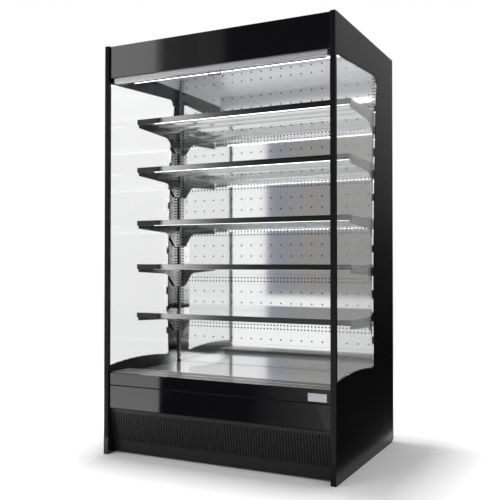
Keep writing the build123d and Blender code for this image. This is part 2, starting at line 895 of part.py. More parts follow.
def evap_fan_plate():
    x = inner_x - ledge_width - deck_inset
    y0 = front + fan_plate_front
    y1 = front + fan_plate_rear
    low = tub_floor_top + fan_plate_low - sheet
    middle = (y0 + y1) / 2
    circles = [(side * evap_fan_x, middle, evap_fan_radius + fan_tip_gap) for side in (-1, 1)]
    plate = pierced(Plane(origin=(0, 0, low)), (-x, x, y0, y1), circles, [], sheet)
    for y in (y0, y1 - sheet):
        plate += block(-x, x, y, y + sheet, tub_floor_top, low)
    for side in (-1, 1):
        plate += evap_fan_place(side) * fan_motor(evap_fan_radius + fan_tip_gap + sheet)
    return plate


def evap_fan(side):
    return evap_fan_place(side) * axial_fan(evap_fan_radius)


def drain_pan():
    y1 = rear - frame_rear_in - frame_tube - bracket_gap
    y0 = y1 - pan_depth
    x = pan_width / 2
    tray = block(-x, x, y0, y1, frame_tube, frame_tube + pan_height)
    return tray - block(-x + pan_wall, x - pan_wall, y0 + pan_wall, y1 - pan_wall,
                        frame_tube + pan_wall, frame_tube + pan_height)


def switch_place():
    x = control_left + control_width / 2
    z = frame_tube + control_height * 0.7
    return x, front + control_front, z


def controller():
    x0 = control_left
    x1 = control_left + control_width
    y0 = front + control_front
    box = block(x0, x1, y0, y0 + control_depth, frame_tube, frame_tube + control_height)
    box = fillet(box.edges().filter_by(Axis.Z), pan_wall)
    x, y, z = switch_place()
    half = switch_width / 2 + switch_gap
    high = switch_height / 2 + switch_gap * 2
    box -= block(x - half, x + half, y, y + switch_pocket, z - high, z + high)
    pin_reach = switch_width / 2 + switch_pin_length + switch_gap
    return box - rod_x(x - pin_reach, x + pin_reach, y + switch_proud, z, switch_pin + running_gap)


def power_rocker():
    x, y, z = switch_place()
    half = switch_width / 2
    high = switch_height / 2
    outline = [
        (y - switch_proud, z - high),
        (y - switch_proud / 3, z),
        (y - switch_proud, z + high),
        (y + switch_thick - switch_proud, z + high),
        (y + switch_thick - switch_proud, z - high),
    ]
    rocker = profile_x(outline, x - half, x + half)
    pin_y = y + switch_proud
    rocker += rod_x(x - half - switch_pin_length, x + half + switch_pin_length, pin_y, z, switch_pin)
    return Pos(0, pin_y, z) * Rot(switch_tilt, 0, 0) * Pos(0, -pin_y, -z) * rocker


def all_parts():
    parts = {
        "side_panel_left": side_panel(-1),
        "side_panel_right": side_panel(1),
        "side_glass_left": side_glass(-1),
        "side_glass_right": side_glass(1),
        "glass_seals": glass_seals(),
        "front_post_left": front_post(-1),
        "front_post_right": front_post(1),
        "edge_trims": edge_trims(),
        "rear_wall": rear_wall(),
        "roof_panel": roof_panel(),
        "base_tub": base_tub(),
        "base_frame": base_frame(),
        "canopy_fascia": canopy_fascia(),
        "ceiling_panel": ceiling_panel(),
        "air_outlet_grille": air_outlet_grille(),
        "canopy_lamp": canopy_lamp(),
        "roller_brackets": roller_brackets(),
        "blind_roller": blind_roller(),
        "blind_fabric": blind_fabric(),
        "blind_bar": blind_bar(),
        "blind_handle": blind_handle(),
        "back_panel_top": top_back_panel(),
        "back_panel_foot": foot_back_panel(),
        "slotted_uprights": slotted_uprights(),
        "deck_plate": deck_plate(),
        "return_grille": return_grille(),
        "upper_fascia": upper_fascia(),
        "lower_fascia": lower_fascia(),
        "kick_grille": kick_grille(),
        "condenser_coil": condenser_coil(),
        "condenser_shroud": condenser_shroud(),
        "condenser_fan": condenser_fan(),
        "compressor": compressor(),
        "evaporator_coil": evaporator_coil(),
        "evap_fan_plate": evap_fan_plate(),
        "evap_fan_left": evap_fan(-1),
        "evap_fan_right": evap_fan(1),
        "drain_pan": drain_pan(),
        "controller": controller(),
        "power_rocker": power_rocker(),
    }
    for index in range(panel_count):
        parts[f"back_panel_{index + 1}"] = back_panel(index)
    for number, step in enumerate(shelf_steps, 1):
        parts[f"shelf_plate_{number}"] = shelf_plate(step)
        parts[f"lamp_rail_{number}"] = lamp_rail(step)
        parts[f"shelf_arms_{number}"] = shelf_arms(step)
    return parts


def main():
    os.makedirs("parts", exist_ok=True)
    for name, shape in all_parts().items():
        export_step(shape, f"parts/{name}.step")
        box = shape.bounding_box()
        size = f"{box.size.X:7.1f} {box.size.Y:6.1f} {box.size.Z:7.1f}"
        print(f"{name:20s} {len(shape.solids())} {shape.volume / 1000:10.1f} cm3 {size}")


main()
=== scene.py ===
import math

import bmesh
import bpy
from mathutils import Matrix, Vector


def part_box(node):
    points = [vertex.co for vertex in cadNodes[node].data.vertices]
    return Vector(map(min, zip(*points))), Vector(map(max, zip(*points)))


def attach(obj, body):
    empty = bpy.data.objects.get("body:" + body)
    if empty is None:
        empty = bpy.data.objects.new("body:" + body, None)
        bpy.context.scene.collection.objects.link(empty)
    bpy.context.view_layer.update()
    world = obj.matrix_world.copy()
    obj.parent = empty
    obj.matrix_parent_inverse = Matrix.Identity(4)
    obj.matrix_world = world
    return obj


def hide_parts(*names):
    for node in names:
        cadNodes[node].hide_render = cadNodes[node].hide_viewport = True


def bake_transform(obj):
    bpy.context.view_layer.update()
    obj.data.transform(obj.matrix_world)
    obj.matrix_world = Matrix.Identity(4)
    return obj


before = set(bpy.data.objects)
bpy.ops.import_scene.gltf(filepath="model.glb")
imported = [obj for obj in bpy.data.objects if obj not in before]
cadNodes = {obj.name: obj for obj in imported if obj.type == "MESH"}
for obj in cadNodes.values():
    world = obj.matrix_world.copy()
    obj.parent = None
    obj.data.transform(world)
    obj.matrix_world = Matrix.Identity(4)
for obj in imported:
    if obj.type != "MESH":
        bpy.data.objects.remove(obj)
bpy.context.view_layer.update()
scene = bpy.context.scene
print("frame loaded,", len(cadNodes), "cad nodes")


# shader helpers

def setSocket(tree, socket, value):
    # an output is linked to the socket, a plain number or colour is set on it
    if hasattr(value, "is_output"):
        tree.links.new(value, socket)
    else:
        socket.default_value = value


def addNode(tree, kind, **settings):
    node = tree.nodes.new(kind)
    for key, value in settings.items():
        setattr(node, key, value)
    return node


def feed(tree, node, **values):
    for key, value in values.items():
        setSocket(tree, node.inputs[key.replace("_", " ")], value)


def mathNode(tree, operation, *values, clamp=False):
    node = addNode(tree, "ShaderNodeMath", operation=operation, use_clamp=clamp)
    for socket, value in zip(node.inputs, values):
        setSocket(tree, socket, value)
    return node.outputs[0]


def mixColour(tree, factor, first, second):
    # the colour sockets of a mix node are its inputs 6 and 7 and its output 2
    node = addNode(tree, "ShaderNodeMix", data_type="RGBA")
    for index, value in ((0, factor), (6, first), (7, second)):
        setSocket(tree, node.inputs[index], value)
    return node.outputs[2]


def mixShader(tree, factor, first, second):
    # mixes two shaders into the material's output
    node = addNode(tree, "ShaderNodeMixShader")
    for socket, value in zip(node.inputs, (factor, first, second)):
        tree.links.new(value, socket)
    tree.links.new(node.outputs[0], tree.nodes["Material Output"].inputs[0])


def spread(tree, value, across, onto=(0.0, 1.0)):
    # maps the first range onto the second, and holds the ends
    node = addNode(tree, "ShaderNodeMapRange", clamp=True)
    feed(tree, node, Value=value, From_Min=across[0], From_Max=across[1], To_Min=onto[0],
         To_Max=onto[1])
    return node.outputs[0]


def noise(tree, vector, scale, detail=2.0, rough=0.5):
    node = addNode(tree, "ShaderNodeTexNoise")
    feed(tree, node, Vector=vector, Scale=scale, Detail=detail, Roughness=rough)
    return node.outputs[0]


def addBump(tree, height, strength, distance):
    node = addNode(tree, "ShaderNodeBump")
    feed(tree, node, Height=height, Strength=strength, Distance=distance)
    return node.outputs[0]


def newGroup(name, inputs, outputs):
    group = bpy.data.node_groups.new(name, "ShaderNodeTree")
    for label, kind, value in inputs:
        socket = group.interface.new_socket(label, in_out="INPUT", socket_type=kind)
        if value is not None:
            socket.default_value = value
    for label in outputs:
        group.interface.new_socket(label, in_out="OUTPUT", socket_type="NodeSocketFloat")
    given = group.nodes.new("NodeGroupInput").outputs
    return group, given, group.nodes.new("NodeGroupOutput").inputs


def useGroup(tree, group, **values):
    node = addNode(tree, "ShaderNodeGroup", node_tree=group)
    feed(tree, node, **values)
    return node.outputs


def newMaterial(name):
    material = bpy.data.materials.new(name)
    material.use_nodes = True
    tree = material.node_tree
    place = addNode(tree, "ShaderNodeTexCoord").outputs["Object"]
    return material, tree, tree.nodes["Principled BSDF"], place


def rgb(r, g, b):
    return (r, g, b, 1.0)


# shared surface effects

skinLook = {"peelScale": 260.0, "peelDetail": 1.0, "driftScale": 2.3, "driftDetail": 3.0,
            "driftRough": 0.55, "dustScale": 900.0, "dustDetail": 2.0, "dustRough": 0.7,
            "dustAcross": (0.62, 0.78), "dustAmount": 0.15}


def paintSkinGroup():
    # sprayed paint: orange peel, a slow drift of gloss, and fine dust
    look = skinLook
    group, given, made = newGroup(
        "paintSkin",
        [("Vector", "NodeSocketVector", None),
         ("Peel Scale", "NodeSocketFloat", look["peelScale"]),
         ("Dust Scale", "NodeSocketFloat", look["dustScale"]),
         ("Dust Amount", "NodeSocketFloat", look["dustAmount"])],
        ["Height", "Drift", "Dust"])
    place = given["Vector"]
    peel = noise(group, place, given["Peel Scale"], look["peelDetail"])
    drift = noise(group, place, look["driftScale"], look["driftDetail"], look["driftRough"])
    speck = noise(group, place, given["Dust Scale"], look["dustDetail"], look["dustRough"])
    dust = mathNode(group, "MULTIPLY", spread(group, speck, look["dustAcross"]),
                    given["Dust Amount"])
    group.links.new(peel, made["Height"])
    group.links.new(drift, made["Drift"])
    group.links.new(dust, made["Dust"])
    return group


sheetLook = {"streakScale": 500.0, "streakDetail": 3.0, "smudgeScale": 5.0, "smudgeDetail": 4.0,
             "rough": 0.6}


def rolledMetalGroup():
    # rolled sheet: fine streaks along the rolling direction, and smudges
    look = sheetLook
    group, given, made = newGroup(
        "rolledMetal",
        [("Vector", "NodeSocketVector", None), ("Stretch", "NodeSocketVector", (1.0, 1.0, 1.0)),
         ("Streak Scale", "NodeSocketFloat", look["streakScale"]),
         ("Smudge Scale", "NodeSocketFloat", look["smudgeScale"])],
        ["Streak", "Smudge"])
    place = given["Vector"]
    along = addNode(group, "ShaderNodeVectorMath", operation="MULTIPLY")
    group.links.new(place, along.inputs[0])
    group.links.new(given["Stretch"], along.inputs[1])
    streak = noise(group, along.outputs[0], given["Streak Scale"], look["streakDetail"],
                   look["rough"])
    smudge = noise(group, place, given["Smudge Scale"], look["smudgeDetail"], look["rough"])
    group.links.new(streak, made["Streak"])
    group.links.new(smudge, made["Smudge"])
    return group


mouldLook = {"grainScale": 1400.0, "grainRough": 0.65, "blotchScale": 14.0, "blotchRough": 0.6,
             "detail": 3.0}


def mouldGrainGroup():
    # moulded or cast skin: fine grain with softer blotches
    look = mouldLook
    group, given, made = newGroup(
        "mouldGrain",
        [("Vector", "NodeSocketVector", None),
         ("Grain Scale", "NodeSocketFloat", look["grainScale"])],
        ["Height", "Blotch"])
    place = given["Vector"]
    grain = noise(group, place, given["Grain Scale"], look["detail"], look["grainRough"])
    blotch = noise(group, place, look["blotchScale"], look["detail"], look["blotchRough"])
    group.links.new(grain, made["Height"])
    group.links.new(blotch, made["Blotch"])
    return group


paintSkin = paintSkinGroup()
rolledMetal = rolledMetalGroup()
mouldGrain = mouldGrainGroup()


# makers of finishes; colours are (red, green, blue), and streaks run along the squeezed axis

alongZ, alongX, alongBar = (1.0, 1.0, 0.02), (0.02, 1.0, 1.0), (0.004, 1.0, 1.0)
unrolled = (1.0, 1.0, 1.0)
paintLook = {"driftAcross": (0.3, 0.7), "dustTint": 0.05, "dustDulls": 0.3, "peelHeight": 0.0004}
metalLook = {"streakAcross": (0.35, 0.65), "smudgeAcross": (0.35, 0.75), "streakHeight": 0.0003}
plasticLook = {"blotchAcross": (0.3, 0.7), "blotchGain": 1.25, "blotchLift": 0.004,
               "smoother": 0.04, "rougher": 0.05, "grainHeight": 0.0002}
litLook = {"grainScale": 300.0, "dimmest": 0.96, "roughness": 0.35}


def paint(name, colour, roughness, peel=0.05, level=0.5, drift=0.05):
    look = paintLook
    material, tree, shader, place = newMaterial(name)
    skin = useGroup(tree, paintSkin, Vector=place)
    dusty = rgb(*(min(1.0, c + look["dustTint"]) for c in colour))
    gloss = spread(tree, skin["Drift"], look["driftAcross"],
                   (roughness - drift / 2, roughness + drift / 2))
    dull = mathNode(tree, "MULTIPLY", skin["Dust"], look["dustDulls"])
    feed(tree, shader, Base_Color=mixColour(tree, skin["Dust"], rgb(*colour), dusty),
         Metallic=0.0, Roughness=mathNode(tree, "ADD", gloss, dull, clamp=True),
         Specular_IOR_Level=level,
         Normal=addBump(tree, skin["Height"], peel, look["peelHeight"]))
    return material


def metal(name, colour, roughness, stretch=alongZ, streak=0.04, smudge=0.03, bump=0.02,
          metallic=0.9, streakScale=sheetLook["streakScale"]):
    look = metalLook
    material, tree, shader, place = newMaterial(name)
    sheet = useGroup(tree, rolledMetal, Vector=place, Stretch=stretch, Streak_Scale=streakScale)
    darker = rgb(*(c * (1 - streak * 2) for c in colour))
    lines = spread(tree, sheet["Streak"], look["streakAcross"])
    rough = spread(tree, sheet["Smudge"], look["smudgeAcross"], (roughness, roughness + smudge))
    feed(tree, shader, Base_Color=mixColour(tree, lines, darker, rgb(*colour)),
         Metallic=metallic, Roughness=rough,
         Normal=addBump(tree, sheet["Streak"], bump, look["streakHeight"]))
    return material


def moulded(name, colour, roughness, bump=0.15, grain=mouldLook["grainScale"], level=0.5):
    look = plasticLook
    material, tree, shader, place = newMaterial(name)
    skin = useGroup(tree, mouldGrain, Vector=place, Grain_Scale=grain)
    lighter = rgb(*(min(1.0, c * look["blotchGain"] + look["blotchLift"]) for c in colour))
    rough = spread(tree, skin["Blotch"], look["blotchAcross"],
                   (roughness - look["smoother"], roughness + look["rougher"]))
    feed(tree, shader, Base_Color=mixColour(tree, skin["Blotch"], rgb(*colour), lighter),
         Roughness=rough, Specular_IOR_Level=level,
         Normal=addBump(tree, skin["Height"], bump, look["grainHeight"]))
    return material


def lit(name, colour, strength):
    # lamp diffuser: opal plastic that glows, a little uneven along its length
    look = litLook
    material, tree, shader, place = newMaterial(name)
    skin = useGroup(tree, mouldGrain, Vector=place, Grain_Scale=look["grainScale"])
    dim = rgb(*(c * look["dimmest"] for c in colour))
    glow = mixColour(tree, skin["Blotch"], dim, rgb(*colour))
    feed(tree, shader, Base_Color=glow, Roughness=look["roughness"], Emission_Color=glow,
         Emission_Strength=strength)
    return material


# glass: clear at the top, darker towards the foot with painted shade, smeared at random, and open
# to the lamps

pane = {"paintedShadeAcross": (0.45, 1.75), "paintedShadeMost": 0.85, "smear": 0.15, "smearScale": 3.0,
        "smearDetail": 4.0, "smearRough": 0.6, "refraction": 1.45,
        "clear": (0.99, 0.994, 0.993), "shadeAndSmearTone": (0.85, 0.855, 0.855), "shade": (0.95, 0.96, 0.955)}


def glassPane(name):
    material, tree, shader, place = newMaterial(name)
    parts = addNode(tree, "ShaderNodeSeparateXYZ")
    tree.links.new(place, parts.inputs[0])
    # painted shade: the pane greys towards its foot to stand in for shade seen through it; the
    # smears on top are random
    rise = spread(tree, parts.outputs["Z"], pane["paintedShadeAcross"], (pane["paintedShadeMost"], 0.0))
    patches = noise(tree, place, pane["smearScale"], pane["smearDetail"], pane["smearRough"])
    smear = mathNode(tree, "MULTIPLY", patches, pane["smear"])
    shadeAndSmear = mathNode(tree, "ADD", rise, smear, clamp=True)
    feed(tree, shader, Roughness=0.0, IOR=pane["refraction"], Transmission_Weight=1.0,
         Base_Color=mixColour(tree, shadeAndSmear, rgb(*pane["clear"]), rgb(*pane["shadeAndSmearTone"])))
    shade = addNode(tree, "ShaderNodeBsdfTransparent")
    shade.inputs[0].default_value = rgb(*pane["shade"])
    path = addNode(tree, "ShaderNodeLightPath")
    mixShader(tree, path.outputs["Is Shadow Ray"], shader.outputs[0], shade.outputs[0])
    return material


# woven cloth of the night blind

weave = {"scale": 900.0, "distortion": 0.3, "detail": 1.0, "low": (0.5, 0.51, 0.52),
         "high": (0.62, 0.63, 0.64), "roughness": 0.75, "bump": 0.3, "height": 0.0002}


def clothFinish(name):
    material, tree, shader, place = newMaterial(name)
    threads = []
    for direction in ("X", "Z"):
        wave = addNode(tree, "ShaderNodeTexWave", wave_type="BANDS", bands_direction=direction)
        feed(tree, wave, Vector=place, Scale=weave["scale"], Distortion=weave["distortion"],
             Detail=weave["detail"])
        threads.append(wave.outputs["Fac"])
    height = mathNode(tree, "MAXIMUM", *threads)
    tone = mixColour(tree, height, rgb(*weave["low"]), rgb(*weave["high"]))
    feed(tree, shader, Base_Color=tone, Roughness=weave["roughness"],
         Normal=addBump(tree, height, weave["bump"], weave["height"]))
    return material


# finishes

polished = {"smudge": 0.02, "streak": 0.02, "bump": 0.01}

finishes = {
    "outerPaint": paint("outerPaint", (0.003, 0.003, 0.0035), 0.22, peel=0.08, level=0.12),
    "innerPaint": paint("innerPaint", (0.004, 0.004, 0.005), 0.08, peel=0.02, drift=0.02),
    "glossPaint": paint("glossPaint", (0.003, 0.003, 0.004), 0.05, peel=0.01, level=0.3,
                        drift=0.02),
    "railPaint": paint("railPaint", (0.003, 0.003, 0.0035), 0.12, peel=0.02, drift=0.03),
    "postSteel": paint("postSteel", (0.006, 0.006, 0.007), 0.26, level=0.15),
    "wallSteel": metal("wallSteel", (0.93, 0.935, 0.94), 0.05, **polished),
    "uprightSteel": metal("uprightSteel", (0.50, 0.50, 0.51), 0.30, metallic=0.7),
    "deckSteel": metal("deckSteel", (0.93, 0.935, 0.94), 0.09, metallic=0.62, **polished),
    "satinSteel": metal("satinSteel", (0.62, 0.63, 0.64), 0.35, metallic=0.55),
    "ceilingSteel": metal("ceilingSteel", (0.72, 0.725, 0.73), 0.30, metallic=0.25),
    "shelfSteel": metal("shelfSteel", (0.92, 0.925, 0.92), 0.08, alongX, streak=0.02, bump=0.01,
                        metallic=0.80),
    "grilleSteel": metal("grilleSteel", (0.94, 0.93, 0.90), 0.18, alongX, metallic=0.5),
    "framePaint": paint("framePaint", (0.009, 0.009, 0.0095), 0.38, peel=0.1, level=0.2),
    "kickPaint": paint("kickPaint", (0.011, 0.011, 0.0115), 0.36, peel=0.1, level=0.25),
    "glass": glassPane("clearGlass"),
    "rubber": moulded("sealRubber", (0.008, 0.008, 0.008), 0.6, level=0.3),
    "plastic": moulded("blackPlastic", (0.008, 0.008, 0.009), 0.42, level=0.35),
    "lamp": lit("lampDiffuser", (0.94, 0.97, 1.0), 3.2),
    "canopyLamp": lit("canopyDiffuser", (0.97, 0.985, 1.0), 4.5),
    "barMetal": metal("barMetal", (0.74, 0.74, 0.76), 0.32, alongBar, streak=0.02),
    "plateMetal": metal("plateMetal", (0.46, 0.47, 0.49), 0.30, alongX, metallic=0.6),
    "handleWire": metal("handleWire", (0.12, 0.12, 0.125), 0.25, metallic=0.7),
    # near-black fins: painted shade for the dark machine spaces behind the kick holes and the back
    # panels
    "finPaintedShade": metal("finPaintedShade", (0.045, 0.045, 0.047), 0.45),
    "zincSheet": metal("zincSheet", (0.45, 0.46, 0.47), 0.38, unrolled, streakScale=60.0),
    # near-black sheet that stands for the shade behind the kick holes and the grille slots
    "darkShadeSheet": moulded("darkShadeSheet", (0.004, 0.004, 0.004), 0.95, bump=0.5, grain=700.0,
                          level=0.0),
    "compressorPaint": moulded("compressorPaint", (0.012, 0.012, 0.012), 0.35),
    "armPaint": paint("armPaint", (0.006, 0.006, 0.007), 0.14, peel=0.02),
    "cloth": clothFinish("blindCloth"),
}


def numbered(name):
    return [f"{name}_{i}" for i in range(1, 6)]


nodeFinish = {
    "outerPaint": ["side_panel_right", "edge_trims", "rear_wall", "roof_panel"],
    "innerPaint": ["side_panel_left"],
    "glossPaint": ["canopy_fascia", "upper_fascia", "lower_fascia"],
    "postSteel": ["front_post_left", "front_post_right"],
    "glass": ["side_glass_left", "side_glass_right"],
    "rubber": ["glass_seals"],
    "uprightSteel": ["slotted_uprights"],
    "deckSteel": ["deck_plate"],
    "wallSteel": ["back_panel_top", "back_panel_foot"] + numbered("back_panel"),
    "ceilingSteel": ["ceiling_panel"],
    "shelfSteel": numbered("shelf_plate"),
    "framePaint": ["base_frame", "condenser_shroud"],
    "plastic": ["air_outlet_grille", "roller_brackets", "controller", "power_rocker",
                "condenser_fan", "evap_fan_left", "evap_fan_right", "drain_pan", "base_tub"],
    "canopyLamp": ["canopy_lamp"],
    "barMetal": ["blind_bar"],
    "handleWire": ["blind_handle"],
    "finPaintedShade": ["condenser_coil", "evaporator_coil"],
    "zincSheet": ["evap_fan_plate"],
    "compressorPaint": ["compressor"],
    "armPaint": numbered("shelf_arms"),
}
for finish, names in nodeFinish.items():
    for name in names:
        mesh = cadNodes[name].data
        mesh.materials.clear()
        mesh.materials.append(finishes[finish])
print("finishes on", sum(len(names) for names in nodeFinish.values()), "nodes")


# soft edges

edge = {"weld": 0.00002, "steps": 3, "angle": 50}
nodeEdges = {
    0.0022: ["front_post_left", "front_post_right"],
    0.0012: ["canopy_fascia", "upper_fascia", "lower_fascia", "roof_panel", "blind_bar"],
}


def softEdges(piece, width, steps=2):
    bevel = piece.modifiers.new("softEdges", "BEVEL")
    bevel.width = width
    bevel.segments = steps
    bevel.limit_method = "ANGLE"
    return bevel


for width, names in nodeEdges.items():
    for name in names:
        weld = cadNodes[name].modifiers.new("weld", "WELD")
        weld.merge_threshold = edge["weld"]
        bevel = softEdges(cadNodes[name], width, edge["steps"])
        bevel.angle_limit = math.radians(edge["angle"])
print("soft edges on", sum(len(names) for names in nodeEdges.values()), "nodes")


# mesh helpers

def newPiece(name, mesh, finish):
    piece = bpy.data.objects.new(name, mesh)
    scene.collection.objects.link(piece)
    mesh.materials.append(finish)
    return piece


def meshPiece(name, vertices, faces, finish, body=None):
    # stage pieces and blended cloth ride on no body
    mesh = bpy.data.meshes.new(name)
    mesh.from_pydata(vertices, [], faces)
    work = bmesh.new()
    work.from_mesh(mesh)
    bmesh.ops.recalc_face_normals(work, faces=work.faces)
    work.to_mesh(mesh)
    work.free()
    piece = newPiece(name, mesh, finish)
    if body:
        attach(piece, body)
    return piece


def thicken(piece, thickness):
    solidify = piece.modifiers.new("thickness", "SOLIDIFY")
    solidify.thickness = thickness
    solidify.offset = 0.0


def rectangle(y0, y1, z0, z1):
    return [(y0, z0), (y0, z1), (y1, z1), (y1, z0)]


def barAlongX(name, outline, xLow, xHigh, finish, body, rounding=0.0, steps=2):
    # a bar with this (y, z) outline
    count = len(outline)
    vertices = [(x, y, z) for x in (xLow, xHigh) for y, z in outline]
    faces = [tuple(range(count)), tuple(range(2 * count - 1, count - 1, -1))]
    for i in range(count):
        after = (i + 1) % count
        faces.append((i, after, count + after, count + i))
    piece = meshPiece(name, vertices, faces, finish, body)
    if rounding > 0:
        softEdges(piece, rounding, steps)
    return piece


# shelf front rails, each with a lamp strip behind its lip

rail = {"sheet": 0.0025, "rounding": 0.0007, "lip": 0.010, "lipSheet": 0.0012, "drop": 0.026}
strip = {"depth": 0.010, "below": 0.0003, "above": 0.0027, "inset": 0.008, "rounding": 0.0003,
         "steps": 3, "darkEnd": 0.090, "cap": 0.005}


def buildRail(number):
    low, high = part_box(f"lamp_rail_{number}")
    front, top, under = low.y, high.z, high.z - rail["drop"]
    inner, back, lipTop = front + rail["sheet"], front + rail["lip"], under + rail["lipSheet"]
    body = f"shelf_{number}"
    outline = [(front, under), (front, top), (inner, top), (inner, lipTop), (back, lipTop),
               (back, under)]
    bar = barAlongX(f"price_rail_{number}", outline, low.x, high.x, finishes["railPaint"], body,
                    rail["rounding"])
    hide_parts(f"lamp_rail_{number}")
    # flat opal diffuser with a dark wiring end on the left and a small cap on the right
    x = high.x - strip["inset"]
    glowLeft, glowRight = -x + strip["darkEnd"], x - strip["cap"]
    outline = rectangle(back, back + strip["depth"], under - strip["below"],
                        under + strip["above"])
    diffuser = barAlongX(f"lamp_strip_{number}", outline, glowLeft, glowRight, finishes["lamp"],
                         body, strip["rounding"], strip["steps"])
    for side, ends in (("left", (-x, glowLeft)), ("right", (glowRight, x))):
        end = barAlongX(f"lamp_end_{side}_{number}", outline, *ends, finishes["plastic"], body,
                        strip["rounding"])


for number in range(1, 6):
    buildRail(number)
print("rails and lamp strips done")


# perforated plates

def piercedPlate(name, place, along, up, cells, thickness, finish, body):
    # cells are (x0, x1, y0, y1, hole's outline or None) on the plane of along and up at place;
    # each is a ring of four faces from its hole to its edge, or one face without a hole
    work = bmesh.new()
    made = {}

    def corner(x, y):
        key = (round(x, 6), round(y, 6))
        if key not in made:
            made[key] = work.verts.new(place + along * x + up * y)
        return made[key]

    for x0, x1, y0, y1, hole in cells:
        outer = [corner(*point) for point in ((x0, y0), (x1, y0), (x1, y1), (x0, y1))]
        if hole is None:
            work.faces.new(outer)
            continue
        ring = [corner(*point) for point in hole]
        quarter = len(ring) // 4
        for side in range(4):
            inner = [ring[(side * quarter + i) % len(ring)] for i in range(quarter + 1)]
            work.faces.new([outer[side], outer[(side + 1) % 4]] + inner[::-1])
    bmesh.ops.recalc_face_normals(work, faces=work.faces)
    mesh = bpy.data.meshes.new(name)
    work.to_mesh(mesh)
    work.free()
    piece = newPiece(name, mesh, finish)
    thicken(piece, thickness)
    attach(piece, body)
    return piece


lowerLeft = math.radians(225)


def roundHole(x, y, radius, sides):
    # starts at the lower left, so that each quarter pairs with a side of the cell
    turns = [lowerLeft + 2 * math.pi * i / sides for i in range(sides)]
    return [(x + radius * math.cos(turn), y + radius * math.sin(turn)) for turn in turns]


def slotHole(x, y, halfWidth, halfLength):
    return [(x - halfWidth, y - halfLength), (x + halfWidth, y - halfLength),
            (x + halfWidth, y + halfLength), (x - halfWidth, y + halfLength)]


# raked kick plate with staggered round holes, a lip on top, and a dark sheet behind it, painted
# shade that keeps the holes dark

kick = {"pitch": 0.0143, "rowPitch": 0.0118, "radius": 0.0047, "sides": 12, "plainFoot": 0.060,
        "plainHead": 0.010, "plainSide": 0.016, "topIn": 0.020, "footIn": 0.057, "headBack": 0.001,
        "thickness": 0.0012, "lip": 0.030, "lipBack": 0.002}
kickShadeSheet = {"gap": 0.006, "foot": 0.012, "head": 0.006, "side": 0.004, "thickness": 0.002}


def kickCells(half, length):
    step, rise = kick["pitch"], kick["rowPitch"]
    columns = int(2 * (half - kick["plainSide"]) / step)
    rows = int((length - kick["plainFoot"] - kick["plainHead"]) / rise)
    left, cells = -(columns + 1) / 2 * step, []
    for i in range(columns + 1):
        x0 = left + i * step
        x1 = x0 + step
        foot = kick["plainFoot"] + (0.0 if i % 2 else -rise / 2)
        head = foot + rows * rise
        cells.append((x0, x1, 0.0, foot, None))
        for j in range(rows):
            y0 = foot + j * rise
            hole = roundHole(x0 + step / 2, y0 + rise / 2, kick["radius"], kick["sides"])
            cells.append((x0, x1, y0, y0 + rise, hole))
        cells.append((x0, x1, head, length, None))
    return cells + [(-half, left, 0.0, length, None), (-left, half, 0.0, length, None)]


def buildKick():
    low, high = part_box("kick_grille")
    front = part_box("side_panel_left")[0].y
    half, skin = high.x, kick["thickness"] / 2
    foot = Vector((0, front + kick["footIn"], low.z + skin))
    head = Vector((0, front + kick["topIn"] + kick["headBack"], high.z - skin))
    up, along = (head - foot).normalized(), Vector((1, 0, 0))
    cells = kickCells(half, (head - foot).length)
    plate = piercedPlate("kick_plate", foot, along, up, cells, kick["thickness"],
                         finishes["kickPaint"], "cabinet")
    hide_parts("kick_grille")
    y0 = front + kick["topIn"] + kick["lipBack"]
    outline = rectangle(y0, y0 + kick["lip"], high.z - 3 * skin, high.z - skin)
    lip = barAlongX("kick_lip", outline, -half, half, finishes["framePaint"], "cabinet")
    # the sheet behind the holes is painted shade, not a part of the fridge
    back = Vector((0, 1, -up.y / up.z)).normalized() * kickShadeSheet["gap"]
    y0, z0 = foot.y + back.y, foot.z + back.z + kickShadeSheet["foot"]
    y1, z1 = head.y + back.y, head.z + back.z - kickShadeSheet["head"]
    deep, reach = kickShadeSheet["thickness"], half - kickShadeSheet["side"]
    outline = [(y0, z0), (y1, z1), (y1 + deep, z1), (y0 + deep, z0)]
    cover = barAlongX("kick_shade_sheet", outline, -reach, reach, finishes["darkShadeSheet"], "cabinet")


# return grille at the foot of the opening: two rows of narrow slots, a folded front edge, and
# a dark sheet of painted shade that keeps the slots dark and stands up behind the last slots

grille = {"slots": 88, "rib": 0.008, "slotWidth": 0.0084, "slotLength": 0.060,
          "thickness": 0.0010, "edge": 0.0014, "edgeDrop": 0.0002, "rounding": 0.0005}
grilleShadeSheet = {"drop": 0.0165, "rise": 0.0015, "near": 0.004, "far": 0.0015, "side": 0.030,
                "thickness": 0.002}


def grilleCells(half, rows):
    # rows are the two (y0, y1) halves of the plate
    step, cells = 2 * (half - grille["rib"]) / grille["slots"], []
    for i in range(grille["slots"]):
        x0 = -half + grille["rib"] + i * step
        for y0, y1 in rows:
            hole = slotHole(x0 + step / 2, (y0 + y1) / 2, grille["slotWidth"] / 2,
                            grille["slotLength"] / 2)
            cells.append((x0, x0 + step, y0, y1, hole))
    for x0, x1 in ((-half, -half + grille["rib"]), (half - grille["rib"], half)):
        cells += [(x0, x1, y0, y1, None) for y0, y1 in rows]
    return cells


